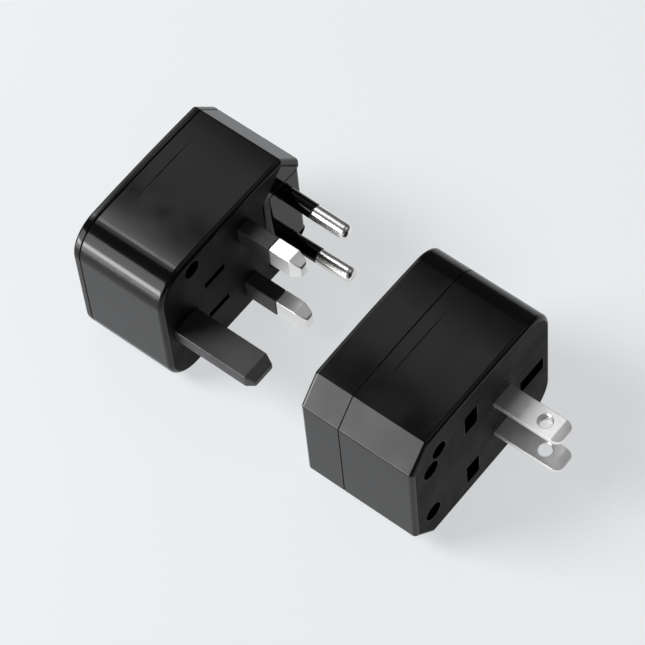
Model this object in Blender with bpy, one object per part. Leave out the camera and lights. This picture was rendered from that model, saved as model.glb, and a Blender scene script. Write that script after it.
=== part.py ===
"""Two-piece universal travel adapter, modelled as the loose halves lying side by side.

The UK/EU half carries three British pins and two European pins on a swivelling block.
The US half carries two flat blades, each on its own rotor, which turn for Australia.
Sizes below are millimetres. X is the way the pins point, Y runs along the faces, Z is up.
Each half is drawn about its own front face: x = 0 at the face, y = 0 at its pin line and
z = 0 at the table. The model's origin is under the middle of both halves together.
"""
import math

import bmesh
import bpy
from mathutils import Matrix, Vector

MM = 0.001
GAP = 0.3                # between touching pieces
FINE_GAP = 0.1           # between a pin and its socket's wall

# Bodies of the halves
HEIGHT = 41.0
WALL = 1.8
CORNER_RADIUS = 8.5
CHAMFER_Y = 5.9
CHAMFER_TOP = 7.1
CHAMFER_BOTTOM = 6.4
EDGE_RADIUS = 1.3
REAR_EDGE_RADIUS = 0.9
CORNER_STEPS = 8
EDGE_STEPS = 4

UK_DEPTH = 26.2
UK_ROUND_Y = -29.2       # the end with round corners
UK_CHAMFER_Y = 20.9      # the end with chamfered corners
UK_SEAM = -24.0
US_DEPTH = 30.9
US_ROUND_Y = 18.0
US_CHAMFER_Y = -32.1
US_SEAM = -20.4
US_COVER_WALL = 2.8
LIP_WIDTH = 1.0
LIP_LENGTH = 1.5

# Where the halves lie: US face ahead of the UK face, and to the side
US_AHEAD = 71.2
US_ASIDE = 2.4

# Pins. L and N sit one above the other, at the same height in both halves.
PIN_Z = 19.0
UK_LN_HALF_SPACING = 11.115
UK_PIN_Y = 4.0
UK_PIN_Z = 6.35
UK_PIN_LENGTH = 17.7
UK_SLEEVE_END = 9.0
UK_CORE_Y = 2.6
UK_CORE_Z = 4.6
UK_CORE_START = -5.8
UK_TIP_LENGTH = 2.8
EARTH_OFFSET = 22.23
EARTH_Y = 8.05
EARTH_Z = 4.0
EARTH_LENGTH = 22.7
EARTH_TIP_LENGTH = 2.3

EU_Y = 14.5
EU_HALF_SPACING = 9.6    # at the face; the pins lean together towards their tips
EU_LEAN = math.radians(1.7)
EU_RADIUS = 2.0
EU_CORE_RADIUS = 1.4
EU_SLEEVE_BORE = 1.6
EU_LENGTH = 19.0
EU_SLEEVE_END = 9.0

US_HALF_SPACING = 6.35
BLADE_WIDTH = 6.35
BLADE_THICK = 1.5
BLADE_LENGTH = 17.7
BLADE_TIP_LENGTH = 1.5
BLADE_TIP_WIDTH = 3.4
BLADE_HOLE_X = 11.8
BLADE_HOLE_RADIUS = 1.7
BLADE_START = -9.5

# Swivelling block of the European pins
SWIVEL_X = -9.8
SWIVEL_Y = UK_CHAMFER_Y + SWIVEL_X
FACE_RELIEF = 0.35
SWIVEL_FLAT = 9.5        # from the axis to each flat face
SWIVEL_HUB = 4.0
SWIVEL_EDGE_RADIUS = 1.2
SWIVEL_INNER_RADIUS = 3.2  # front edge nearest the pin line
SWIVEL_HALF_HEIGHT = 12.4
SWIVEL_END_BACK = -2.5
SWIVEL_SHOULDER = 6.0
POCKET_BACK = -20.6
POCKET_SIDE = 6.8
POCKET_HALF_HEIGHT = 12.7
POCKET_WALL = 1.5
# Outline in (y, z) of the shallow relief in the UK face round the pocket. It leaves a rim
# 1.6 wide along the chamfers and is open at the side.
RELIEF = ((POCKET_SIDE, PIN_Z - POCKET_HALF_HEIGHT), (13.0, 0.1), (UK_CHAMFER_Y, 8.8), (30.0, 8.8),
          (30.0, 31.4), (UK_CHAMFER_Y, 31.4), (14.4, 39.3), (POCKET_SIDE, PIN_Z + POCKET_HALF_HEIGHT))
STUB_RADIUS = 1.5
STUB_INNER = 3.0
STUB_OUTER = 15.6

# Rotors of the US blades
ROTOR_RADIUS = 4.3
ROTOR_FLANGE_RADIUS = 5.6
ROTOR_FRONT = -0.15
ROTOR_STEP = -2.5
ROTOR_BACK = -6.3

# Where half US goes when the halves meet, seen from half US: the UK half's pins go in behind
STORE_LN_Y = -11.2       # storage slots for the UK half's L and N pins
STORE_EARTH_Y = 11.0
STORE_EU_Y = -25.7
STORE_EU_HALF_SPACING = 9.4
STACK_LN_Y = -US_ASIDE   # openings behind the US half, in line with the UK half's pins
STACK_EARTH_Y = STACK_LN_Y - EARTH_OFFSET
STACK_EU_Y = EU_Y - US_ASIDE
UK_BLADE_SLOT_Y = -11.2  # slots in the UK half's face for the US blades
BLADE_SLOT_HALF_Y = 3.5
BLADE_SLOT_HALF_Z = 0.95

# Universal socket behind each half; z counts from the height of the pins
SOCKET_SLOT_HALF_Y = 2.6
SOCKET_SLOT_Z = (7.4, 14.9)
SOCKET_BLADE_HALF_Y = 3.6
SOCKET_BLADE_Z = (5.4, 7.8)
SOCKET_EARTH_HALF_Y = 4.35
SOCKET_EARTH_HALF_Z = 2.4
UK_ROUNDS = (-4.4, 9.5, 2.5)                 # y, half spacing and radius of the round holes
US_ROUNDS = (STACK_EU_Y, 9.35, 2.7)

# Case screws: (y, height above the pins)
UK_SCREW = (-17.8, 17.4)
US_SCREW = (-22.6, 14.0)
SCREW_HOLE_RADIUS = 2.3
SCREW_HEAD_RADIUS = 2.0
SCREW_SHAFT_RADIUS = 1.05
SCREW_SEAT = -6.0
BOSS_RADIUS = 3.0
BOSS_END = -12.0
POST_RADIUS = 2.2

BLACK = (0.012, 0.012, 0.014)
NICKEL = (0.78, 0.77, 0.75)
BRASS = (0.72, 0.50, 0.20)
BRONZE = (0.60, 0.36, 0.20)
STEEL = (0.55, 0.56, 0.58)
WHITE = (0.75, 0.75, 0.72)

LENGTH = UK_DEPTH + US_AHEAD + BLADE_LENGTH
LOW_Y = min(UK_ROUND_Y, US_ASIDE + US_CHAMFER_Y)
HIGH_Y = max(UK_CHAMFER_Y, US_ASIDE + US_ROUND_Y)
UK_ORIGIN = Vector((UK_DEPTH - LENGTH / 2, -(LOW_Y + HIGH_Y) / 2, 0.0))
US_ORIGIN = UK_ORIGIN + Vector((US_AHEAD, US_ASIDE, 0.0))


def clear_scene():
    for item in list(bpy.data.objects):
        bpy.data.objects.remove(item, do_unlink=True)


def material(name, colour, roughness, metallic):
    surface = bpy.data.materials.new(name)
    surface.use_nodes = True
    shader = surface.node_tree.nodes["Principled BSDF"]
    shader.inputs["Base Color"].default_value = (*colour, 1.0)
    shader.inputs["Roughness"].default_value = roughness
    shader.inputs["Metallic"].default_value = metallic
    return surface


# ---------------------------------------------------------------- shapes

def loft(rings, ring_shaped=False):
    """Skin rings of equal length into one closed body; ring_shaped joins last to first."""
    bm = bmesh.new()
    loops = [[bm.verts.new(point) for point in ring] for ring in rings]
    pairs = list(zip(loops, loops[1:]))
    if ring_shaped:
        pairs.append((loops[-1], loops[0]))
    else:
        bm.faces.new(loops[0])
        bm.faces.new(loops[-1])
    for first, second in pairs:
        for i in range(len(first)):
            j = (i + 1) % len(first)
            bm.faces.new((first[i], first[j], second[j], second[i]))
    bmesh.ops.recalc_face_normals(bm, faces=bm.faces)
    return bm


def merge(*shapes):
    """Put separate closed shapes into one mesh."""
    whole = bmesh.new()
    for shape in shapes:
        piece = bpy.data.meshes.new("merge")
        shape.to_mesh(piece)
        whole.from_mesh(piece)
        shape.free()
        bpy.data.meshes.remove(piece)
    return whole


def block(x, y, z):
    """A box between pairs of x, y and z."""
    ring = [(y[0], z[0]), (y[1], z[0]), (y[1], z[1]), (y[0], z[1])]
    return loft([[(at, *point) for point in ring] for at in x])


def rectangle(width, height, chamfer, centre):
    """A rectangle in Y and Z with small corner chamfers, 8 points."""
    w, h, c = width / 2, height / 2, chamfer
    corners = [(w, h - c), (w - c, h), (c - w, h), (-w, h - c),
               (-w, c - h), (c - w, -h), (w - c, -h), (w, c - h)]
    return [(centre[0] + y, centre[1] + z) for y, z in corners]


def bar(sections, centre, ring_shaped=False):
    """A bar along X through sections of (x, width, height, chamfer)."""
    rings = [[(x, *point) for point in rectangle(width, height, chamfer, centre)]
             for x, width, height, chamfer in sections]
    return loft(rings, ring_shaped)


def turned(profile, centre, steps=24, ring_shaped=False):
    """A round body along X through a profile of (x, radius)."""
    rings = []
    for x, radius in profile:
        angles = [2 * math.pi * i / steps for i in range(steps)]
        rings.append([(x, centre[0] + radius * math.cos(a), centre[1] + radius * math.sin(a))
                      for a in angles])
    return loft(rings, ring_shaped)


def extruded_up(outline, z):
    """An outline of (x, y) between two heights."""
    return loft([[(*point, at) for point in outline] for at in z])


def extruded_across(outline, y):
    """An outline of (x, z) between two values of y."""
    return loft([[(px, at, pz) for px, pz in outline] for at in y])


def arc(centre, radius, start, end, steps):
    """Points on an arc, angles in degrees."""
    angles = [math.radians(start + (end - start) * i / steps) for i in range(steps + 1)]
    return [(centre[0] + radius * math.cos(a), centre[1] + radius * math.sin(a)) for a in angles]


def inset_outline(points, depth):
    """Move every edge of a counter-clockwise outline inwards by depth."""
    count = len(points)
    moved = []
    for i in range(count):
        before, here, after = (Vector(points[(i + k) % count]) for k in (-1, 0, 1))
        first, second = (here - before).normalized(), (after - here).normalized()
        normal_one = Vector((-first.y, first.x))
        normal_two = Vector((-second.y, second.x))
        bisector = normal_one + normal_two
        moved.append(tuple(here + bisector * (2 * depth / bisector.length_squared)))
    return moved


def case_outline(round_y, chamfer_y):
    """The case's outline in (y, z): two round corners at one end, two chamfers at the other."""
    side = 1 if chamfer_y > round_y else -1
    length = abs(chamfer_y - round_y)
    r = CORNER_RADIUS
    corner = length - CHAMFER_Y
    points = [(corner, 0.0), (length, CHAMFER_BOTTOM), (length, HEIGHT - CHAMFER_TOP),
              (corner, HEIGHT)]
    points += arc((r, HEIGHT - r), r, 90, 180, CORNER_STEPS)
    points += arc((r, r), r, 180, 270, CORNER_STEPS)
    points = [(round_y + side * y, z) for y, z in points]
    return points if side > 0 else points[::-1]


def case_rings(outline, stations):
    """Rings of the case's outline at each (x, inset)."""
    return [[(x, *point) for point in inset_outline(outline, depth)] for x, depth in stations]


def rounded_edge(x, radius, direction):
    """Stations (x, inset) round the outer edge of a face at x, starting on the face."""
    angles = [math.radians(90 * i / EDGE_STEPS) for i in range(EDGE_STEPS + 1)]
    return [(x - direction * radius * (1 - math.cos(a)), radius * (1 - math.sin(a)))
            for a in angles]


# ---------------------------------------------------------------- objects

def add(name, shape, surface, origin, pivot=(0, 0, 0)):
    """Make an object from a shape drawn about a half's face, with its origin at the pivot."""
    pivot = Vector(pivot)
    bmesh.ops.translate(shape, verts=shape.verts, vec=-pivot)
    bmesh.ops.scale(shape, verts=shape.verts, vec=(MM, MM, MM))
    mesh = bpy.data.meshes.new(name)
    shape.to_mesh(mesh)
    shape.free()
    mesh.shade_smooth()
    mesh.set_sharp_from_angle(angle=math.radians(32))
    item = bpy.data.objects.new(name, mesh)
    bpy.context.collection.objects.link(item)
    item.location = (origin + pivot) * MM
    if surface is not None:
        mesh.materials.append(surface)
    return item


def shape_with(target, operation, shape, origin):
    """Cut or join a drawn shape, kept as a wire guide."""
    guide = add(f"guide.{target.name}.{len(target.modifiers)}", shape, None, origin)
    guide.hide_render = True
    guide.display_type = "WIRE"
    step = target.modifiers.new(operation.title(), "BOOLEAN")
    step.operation = operation
    step.object = guide


def pole_signs():
    """Upper pole first, then lower."""
    return (("upper", 1), ("lower", -1))


def open_socket(cover, line_y, earth_y, rounds, x, origin):
    """Cut one universal socket through a cover: pin slots, flat-blade parts and round holes."""
    slots, blades, holes = [], [], []
    for _, sign in pole_signs():
        heights = sorted(PIN_Z + sign * z for z in SOCKET_SLOT_Z)
        slots.append(block(x, (line_y - SOCKET_SLOT_HALF_Y, line_y + SOCKET_SLOT_HALF_Y), heights))
        heights = sorted(PIN_Z + sign * z for z in SOCKET_BLADE_Z)
        blades.append(block(x, (line_y - SOCKET_BLADE_HALF_Y, line_y + SOCKET_BLADE_HALF_Y), heights))
        round_y, half_spacing, radius = rounds
        holes.append(turned([(at, radius) for at in x], (round_y, PIN_Z + sign * half_spacing)))
    slots.append(block(x, (earth_y - SOCKET_EARTH_HALF_Y, earth_y + SOCKET_EARTH_HALF_Y),
                       (PIN_Z - SOCKET_EARTH_HALF_Z, PIN_Z + SOCKET_EARTH_HALF_Z)))
    for shapes in (slots, blades, holes):
        shape_with(cover, "DIFFERENCE", merge(*shapes), origin)


def screw_bore(place):
    """Cutter for a sunk screw: a wide hole down to the seat and a narrow one beyond."""
    return turned([(2.0, SCREW_HOLE_RADIUS), (SCREW_SEAT, SCREW_HOLE_RADIUS),
                   (SCREW_SEAT, SCREW_SHAFT_RADIUS + GAP),
                   (BOSS_END - 1, SCREW_SHAFT_RADIUS + GAP)], place)


def make_screw(name, place, surface, origin):
    """Self-tapping case screw with a cross recess."""
    head_front = SCREW_SEAT + GAP + 1.4
    screw = add(name, turned([
        (head_front, SCREW_HEAD_RADIUS - 0.5), (head_front - 0.5, SCREW_HEAD_RADIUS),
        (SCREW_SEAT + GAP, SCREW_HEAD_RADIUS), (SCREW_SEAT + GAP, SCREW_SHAFT_RADIUS),
        (-17.5, SCREW_SHAFT_RADIUS), (-18.5, 0.4)], place, 16), surface, origin)
    depth = (head_front - 0.7, head_front + 1)
    y, z = place
    shape_with(screw, "DIFFERENCE", block(depth, (y - 1.1, y + 1.1), (z - 0.3, z + 0.3)), origin)
    shape_with(screw, "DIFFERENCE", block(depth, (y - 0.3, y + 0.3), (z - 1.1, z + 1.1)), origin)


# ---------------------------------------------------------------- UK and EU half

def swivel_outline():
    """Section of the swivelling block in (x, y), front and end faces flat."""
    flat, radius = SWIVEL_FLAT, SWIVEL_EDGE_RADIUS
    inner = SWIVEL_INNER_RADIUS
    points = arc((flat - inner, -SWIVEL_HUB + inner), inner, -90, 0, EDGE_STEPS)
    points += arc((flat - radius, flat - radius), radius, 0, 90, EDGE_STEPS)
    points += [(SWIVEL_END_BACK, flat), (-SWIVEL_HUB, SWIVEL_SHOULDER)]
    points += arc((0, 0), SWIVEL_HUB, 180, 270, CORNER_STEPS)
    return [(SWIVEL_X + x, SWIVEL_Y + y) for x, y in points]


def leaning(shape, sign):
    """Lean a European pin's shape about its root, tip towards the pin line."""
    root = Vector((0, EU_Y, PIN_Z + sign * EU_HALF_SPACING))
    turn = Matrix.Translation(root) @ Matrix.Rotation(sign * EU_LEAN, 4, "Y")
    bmesh.ops.transform(shape, matrix=turn @ Matrix.Translation(-root), verts=shape.verts)
    return shape


def make_uk_front(surface):
    outline = case_outline(UK_ROUND_Y, UK_CHAMFER_Y)
    stations = rounded_edge(0.0, EDGE_RADIUS, 1)
    stations += [(UK_SEAM + GAP / 2, 0.0), (UK_SEAM + GAP / 2, WALL), (-WALL - 0.2, WALL)]
    front = add("uk_front_housing", loft(case_rings(outline, stations)), surface, UK_ORIGIN)

    back, side, half = POCKET_BACK, POCKET_SIDE, POCKET_HALF_HEIGHT
    walls = block((back - POCKET_WALL, -1.0), (side - POCKET_WALL, UK_CHAMFER_Y - 0.8),
                  (PIN_Z - half - POCKET_WALL, PIN_Z + half + POCKET_WALL))
    shape_with(front, "UNION", walls, UK_ORIGIN)
    screw = (UK_SCREW[0], PIN_Z + UK_SCREW[1])
    boss = turned([(-1.0, BOSS_RADIUS), (BOSS_END, BOSS_RADIUS)], screw)
    shape_with(front, "UNION", boss, UK_ORIGIN)

    rings = [[(x, *point) for point in RELIEF] for x in (-FACE_RELIEF, 3.0)]
    shape_with(front, "DIFFERENCE", loft(rings), UK_ORIGIN)
    pocket = block((back, 4.0), (side, 30.0), (PIN_Z - half, PIN_Z + half))
    shape_with(front, "DIFFERENCE", pocket, UK_ORIGIN)

    holes = [screw_bore(screw)]
    face = (-4.0, 4.0)
    for _, sign in pole_signs():
        z = PIN_Z + sign * UK_LN_HALF_SPACING
        hole_y, hole_z = UK_PIN_Y / 2 + GAP, UK_PIN_Z / 2 + GAP
        holes.append(block(face, (-hole_y, hole_y), (z - hole_z, z + hole_z)))
        slot_z = PIN_Z + sign * US_HALF_SPACING
        slot_y = UK_BLADE_SLOT_Y
        holes.append(block(face, (slot_y - BLADE_SLOT_HALF_Y, slot_y + BLADE_SLOT_HALF_Y),
                           (slot_z - BLADE_SLOT_HALF_Z, slot_z + BLADE_SLOT_HALF_Z)))
    earth_y, earth_z = EARTH_Y / 2 + GAP, EARTH_Z / 2 + GAP
    holes.append(block(face, (-EARTH_OFFSET - earth_y, -EARTH_OFFSET + earth_y),
                       (PIN_Z - earth_z, PIN_Z + earth_z)))
    shape_with(front, "DIFFERENCE", merge(*holes), UK_ORIGIN)
    bore = arc((SWIVEL_X, SWIVEL_Y), STUB_RADIUS + FINE_GAP, 0, 345, 23)
    for _, sign in pole_signs():
        heights = sorted((PIN_Z + sign * (half - 1), PIN_Z + sign * (half + POCKET_WALL + 1)))
        shape_with(front, "DIFFERENCE", extruded_up(bore, heights), UK_ORIGIN)


def make_uk_cover(surface):
    outline = case_outline(UK_ROUND_Y, UK_CHAMFER_Y)
    plate = UK_SEAM - GAP / 2
    lip = WALL + GAP
    stations = rounded_edge(-UK_DEPTH, REAR_EDGE_RADIUS, -1)
    stations += [(plate, 0.0), (plate, lip), (plate + LIP_LENGTH, lip),
                 (plate + LIP_LENGTH, lip + LIP_WIDTH), (plate, lip + LIP_WIDTH)]
    cover = add("uk_rear_cover", loft(case_rings(outline, stations)), surface, UK_ORIGIN)
    screw = (UK_SCREW[0], PIN_Z + UK_SCREW[1])
    post = turned([(plate - 0.8, POST_RADIUS), (BOSS_END - GAP, POST_RADIUS)], screw)
    shape_with(cover, "UNION", post, UK_ORIGIN)
    pilot = turned([(-20.0, SCREW_SHAFT_RADIUS + FINE_GAP), (BOSS_END + 1, SCREW_SHAFT_RADIUS + FINE_GAP)],
                   screw, 16)
    shape_with(cover, "DIFFERENCE", pilot, UK_ORIGIN)
    through = (-UK_DEPTH - 2, plate + LIP_LENGTH + 0.5)
    open_socket(cover, 0.0, -EARTH_OFFSET, UK_ROUNDS, through, UK_ORIGIN)


def make_uk_pins(metal, sleeve, plastic):
    for name, sign in (("line", -1), ("neutral", 1)):
        centre = (0.0, PIN_Z + sign * UK_LN_HALF_SPACING)
        shoulder = UK_SLEEVE_END + GAP / 2
        tip = UK_PIN_LENGTH - UK_TIP_LENGTH
        add(f"{name}_pin", bar([
            (UK_CORE_START, UK_CORE_Y, UK_CORE_Z, 0.2), (shoulder, UK_CORE_Y, UK_CORE_Z, 0.2),
            (shoulder, UK_PIN_Y, UK_PIN_Z, 0.3), (tip, UK_PIN_Y, UK_PIN_Z, 0.3),
            (UK_PIN_LENGTH - 0.6, 2.7, 4.4, 0.6), (UK_PIN_LENGTH, 1.7, 3.2, 0.5)],
            centre), metal, UK_ORIGIN)
        bore_y, bore_z = UK_CORE_Y + 2 * 0.2, UK_CORE_Z + 2 * 0.2
        end = UK_SLEEVE_END - GAP / 2
        add(f"{name}_pin_sleeve", bar([
            (-2.7, UK_PIN_Y, UK_PIN_Z, 0.3), (end, UK_PIN_Y, UK_PIN_Z, 0.3),
            (end, bore_y, bore_z, 0.2), (-2.7, bore_y, bore_z, 0.2)],
            centre, ring_shaped=True), sleeve, UK_ORIGIN)
    tip = EARTH_LENGTH - EARTH_TIP_LENGTH
    add("earth_pin", bar([
        (-4.4, EARTH_Y + 1.2, EARTH_Z + 2.6, 0.4), (-2.6, EARTH_Y + 1.2, EARTH_Z + 2.6, 0.4),
        (-2.6, EARTH_Y, EARTH_Z, 0.3), (tip, EARTH_Y, EARTH_Z, 0.3),
        (EARTH_LENGTH, 6.0, 2.0, 0.3)], (-EARTH_OFFSET, PIN_Z)), plastic, UK_ORIGIN)


def make_swivel(plastic, metal, sleeve, inner_metal):
    pivot = (SWIVEL_X, SWIVEL_Y, PIN_Z)
    heights = (PIN_Z - SWIVEL_HALF_HEIGHT, PIN_Z + SWIVEL_HALF_HEIGHT)
    rotor = add("eu_swivel_block", extruded_up(swivel_outline(), heights), plastic,
                UK_ORIGIN, pivot)
    face = SWIVEL_X + SWIVEL_FLAT
    for name, sign in pole_signs():
        centre = (EU_Y, PIN_Z + sign * EU_HALF_SPACING)
        bore = turned([(face + 2, EU_RADIUS + FINE_GAP), (-3.4, EU_RADIUS + FINE_GAP),
                       (-3.4, EU_CORE_RADIUS + FINE_GAP), (-9.0, EU_CORE_RADIUS + FINE_GAP)], centre)
        shape_with(rotor, "DIFFERENCE", leaning(bore, sign), UK_ORIGIN)
        shoulder = EU_SLEEVE_END + GAP / 2
        nose = 1.4
        tip = [(EU_LENGTH - nose + nose * math.sin(math.radians(a)),
                EU_RADIUS - nose + nose * math.cos(math.radians(a))) for a in (0, 25, 50, 70, 90)]
        pin = turned([(-8.6, EU_CORE_RADIUS), (shoulder, EU_CORE_RADIUS), (shoulder, EU_RADIUS)] + tip,
                     centre)
        add(f"eu_pin_{name}", leaning(pin, sign), metal, UK_ORIGIN, pivot)
        end = EU_SLEEVE_END - GAP / 2
        tube = turned([(-3.0, EU_RADIUS), (end, EU_RADIUS), (end, EU_SLEEVE_BORE),
                       (-3.0, EU_SLEEVE_BORE)], centre, ring_shaped=True)
        add(f"eu_sleeve_{name}", leaning(tube, sign), sleeve, UK_ORIGIN, pivot)

        reach = sorted((PIN_Z + sign * STUB_INNER, PIN_Z + sign * STUB_OUTER))
        stub = arc((SWIVEL_X, SWIVEL_Y), STUB_RADIUS, 0, 345, 23)
        add(f"eu_stub_{name}", extruded_up(stub, reach), inner_metal, UK_ORIGIN, pivot)
        hole = arc((SWIVEL_X, SWIVEL_Y), STUB_RADIUS + FINE_GAP, 0, 345, 23)
        reach = sorted((PIN_Z + sign * (STUB_INNER - GAP), PIN_Z + sign * (SWIVEL_HALF_HEIGHT + 1)))
        shape_with(rotor, "DIFFERENCE", extruded_up(hole, reach), UK_ORIGIN)


def make_uk_inside(brass, bronze, steel, insulator):
    for name, sign in (("line", -1), ("neutral", 1)):
        heights = sorted((PIN_Z + sign * 8.0, PIN_Z + sign * 14.6))
        clip = [(-21.5, -7.3), (-6.1, -7.3), (-6.1, 3.4), (-21.5, 3.4),
                (-21.5, 2.9), (-6.6, 2.9), (-6.6, -6.8), (-21.5, -6.8)]
        add(f"uk_{name}_contact", extruded_up(clip, heights), brass, UK_ORIGIN)
    carrier = add("uk_contact_carrier", block((-5.5, -3.0), (-7.3, 4.8), (PIN_Z - 16.5, PIN_Z + 16.5)),
                  insulator, UK_ORIGIN)
    holes = []
    for _, sign in pole_signs():
        z = PIN_Z + sign * UK_LN_HALF_SPACING
        y = UK_CORE_Y / 2 + GAP
        half = UK_CORE_Z / 2 + GAP
        holes.append(block((-8.0, 0.0), (-y, y), (z - half, z + half)))
    shape_with(carrier, "DIFFERENCE", merge(*holes), UK_ORIGIN)

    ceiling = POCKET_HALF_HEIGHT + POCKET_WALL + GAP
    leaf = STUB_OUTER + GAP
    strip = 0.4
    for name, sign in pole_signs():
        profile = [(-20.0, ceiling), (-14.6, ceiling), (-13.4, leaf), (-7.5, leaf),
                   (-7.5, leaf + strip), (-13.6, leaf + strip), (-14.8, ceiling + strip),
                   (-20.0, ceiling + strip)]
        profile = [(x, PIN_Z + sign * z) for x, z in profile]
        add(f"eu_wiper_{name}", extruded_across(profile, (SWIVEL_Y - 1.3, SWIVEL_Y + 1.3)),
            bronze, UK_ORIGIN)
    add("eu_detent_spring", block((POCKET_BACK + 0.2, POCKET_BACK + 0.5), (8.5, 15.5),
                                  (PIN_Z - 7, PIN_Z + 7)), steel, UK_ORIGIN)


# ---------------------------------------------------------------- US half

def make_us_front(surface):
    outline = case_outline(US_ROUND_Y, US_CHAMFER_Y)
    stations = rounded_edge(0.0, EDGE_RADIUS, 1)
    stations += [(US_SEAM + GAP / 2, 0.0), (US_SEAM + GAP / 2, WALL), (-WALL - 0.2, WALL)]
    front = add("us_front_housing", loft(case_rings(outline, stations)), surface, US_ORIGIN)
    screw = (US_SCREW[0], PIN_Z + US_SCREW[1])
    boss = turned([(-1.0, BOSS_RADIUS), (BOSS_END, BOSS_RADIUS)], screw)
    shape_with(front, "UNION", boss, US_ORIGIN)
    face = (-4.0, 4.0)
    holes = [screw_bore(screw)]
    holes.append(block(face, (STORE_EARTH_Y - 4.3, STORE_EARTH_Y + 4.3), (PIN_Z - 2.25, PIN_Z + 2.25)))
    for _, sign in pole_signs():
        z = PIN_Z + sign * UK_LN_HALF_SPACING
        holes.append(block(face, (STORE_LN_Y - 2.25, STORE_LN_Y + 2.25), (z - 3.4, z + 3.4)))
        round_hole = (STORE_EU_Y, PIN_Z + sign * STORE_EU_HALF_SPACING)
        holes.append(turned([(x, 2.5) for x in face], round_hole))
        rotor_hole = (0.0, PIN_Z + sign * US_HALF_SPACING)
        holes.append(turned([(x, ROTOR_RADIUS + GAP) for x in face], rotor_hole, 32))
    shape_with(front, "DIFFERENCE", merge(*holes), US_ORIGIN)


def make_us_cover(surface):
    outline = case_outline(US_ROUND_Y, US_CHAMFER_Y)
    rim = US_SEAM - GAP / 2
    lip = WALL + GAP
    stations = rounded_edge(-US_DEPTH, REAR_EDGE_RADIUS, -1)
    stations += [(rim, 0.0), (rim, lip), (rim + LIP_LENGTH, lip),
                 (rim + LIP_LENGTH, US_COVER_WALL), (WALL - US_DEPTH, US_COVER_WALL)]
    cover = add("us_rear_cover", loft(case_rings(outline, stations)), surface, US_ORIGIN)
    screw = (US_SCREW[0], PIN_Z + US_SCREW[1])
    post = turned([(-US_DEPTH + 1.2, POST_RADIUS), (BOSS_END - GAP, POST_RADIUS)], screw)
    shape_with(cover, "UNION", post, US_ORIGIN)
    pilot = turned([(-20.0, SCREW_SHAFT_RADIUS + FINE_GAP), (BOSS_END + 1, SCREW_SHAFT_RADIUS + FINE_GAP)],
                   screw, 16)
    shape_with(cover, "DIFFERENCE", pilot, US_ORIGIN)
    through = (-US_DEPTH - 2, WALL - US_DEPTH + 0.5)
    open_socket(cover, STACK_LN_Y, STACK_EARTH_Y, US_ROUNDS, through, US_ORIGIN)


def blade_outline():
    """A blade from above in (x, y), narrowing at its tip."""
    half, tip = BLADE_WIDTH / 2, BLADE_TIP_WIDTH / 2
    shoulder = BLADE_LENGTH - BLADE_TIP_LENGTH
    return [(BLADE_START, -half), (shoulder, -half), (BLADE_LENGTH, -tip),
            (BLADE_LENGTH, tip), (shoulder, half), (BLADE_START, half)]


def make_us_blades(metal, plastic):
    for name, sign in pole_signs():
        z = PIN_Z + sign * US_HALF_SPACING
        pivot = (0.0, 0.0, z)
        heights = (z - BLADE_THICK / 2, z + BLADE_THICK / 2)
        blade = add(f"us_blade_{name}", extruded_up(blade_outline(), heights), metal, US_ORIGIN, pivot)
        hole = arc((BLADE_HOLE_X, 0.0), BLADE_HOLE_RADIUS, 0, 348.75, 31)
        shape_with(blade, "DIFFERENCE", extruded_up(hole, (z - 2, z + 2)), US_ORIGIN)
        rotor = add(f"blade_rotor_{name}", turned([
            (ROTOR_FRONT, ROTOR_RADIUS - 0.2), (ROTOR_FRONT - 0.2, ROTOR_RADIUS),
            (ROTOR_STEP, ROTOR_RADIUS), (ROTOR_STEP, ROTOR_FLANGE_RADIUS),
            (ROTOR_BACK, ROTOR_FLANGE_RADIUS)], (0.0, z), 32), plastic, US_ORIGIN, pivot)
        half_width = BLADE_WIDTH / 2 + FINE_GAP
        half_thick = BLADE_THICK / 2 + FINE_GAP
        slot = block((-10, 3), (-half_width, half_width), (z - half_thick, z + half_thick))
        shape_with(rotor, "DIFFERENCE", slot, US_ORIGIN)


def make_us_inside(brass, bronze, steel, insulator):
    retainer = add("rotor_retainer", block((-8.2, -6.7), (-6.4, 6.4), (PIN_Z - 13, PIN_Z + 13)),
                   insulator, US_ORIGIN)
    holes = [turned([(-10, 3.6), (-5, 3.6)], (0.0, PIN_Z + sign * US_HALF_SPACING))
             for _, sign in pole_signs()]
    shape_with(retainer, "DIFFERENCE", merge(*holes), US_ORIGIN)
    add("rotor_detent_spring", block((-6.0, -3.2), (6.0, 6.3), (PIN_Z - 12, PIN_Z + 12)),
        steel, US_ORIGIN)

    middle = STACK_LN_Y
    carrier = add("us_contact_carrier", block((-12.3, -11.0), (middle - 3.4, middle + 6.0),
                                              (PIN_Z - 16, PIN_Z + 16)), insulator, US_ORIGIN)
    holes = []
    for name, sign in (("line", -1), ("neutral", 1)):
        heights = sorted((PIN_Z + sign * 7.6, PIN_Z + sign * 14.7))
        left, right = middle - 2.9, middle + 2.9
        clip = [(-28.0, left), (-12.6, left), (-12.6, middle - 1), (-10.6, middle - 1),
                (-10.6, middle + 1), (-12.6, middle + 1), (-12.6, right), (-28.0, right),
                (-28.0, right - 0.5), (-13.1, right - 0.5), (-13.1, left + 0.5), (-28.0, left + 0.5)]
        add(f"us_{name}_contact", extruded_up(clip, heights), brass, US_ORIGIN)
        holes.append(block((-14, -10), (middle - 1 - GAP, middle + 1 + GAP),
                           (heights[0] - GAP, heights[1] + GAP)))
    shape_with(carrier, "DIFFERENCE", merge(*holes), US_ORIGIN)
    for name, sign in pole_signs():
        z = PIN_Z + sign * US_HALF_SPACING
        add(f"blade_wiper_{name}", block((-10.2, -9.8), (-2.6, 2.0),
                                         sorted((z - sign * 1.5, z + sign * 4.5))), bronze, US_ORIGIN)


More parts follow.
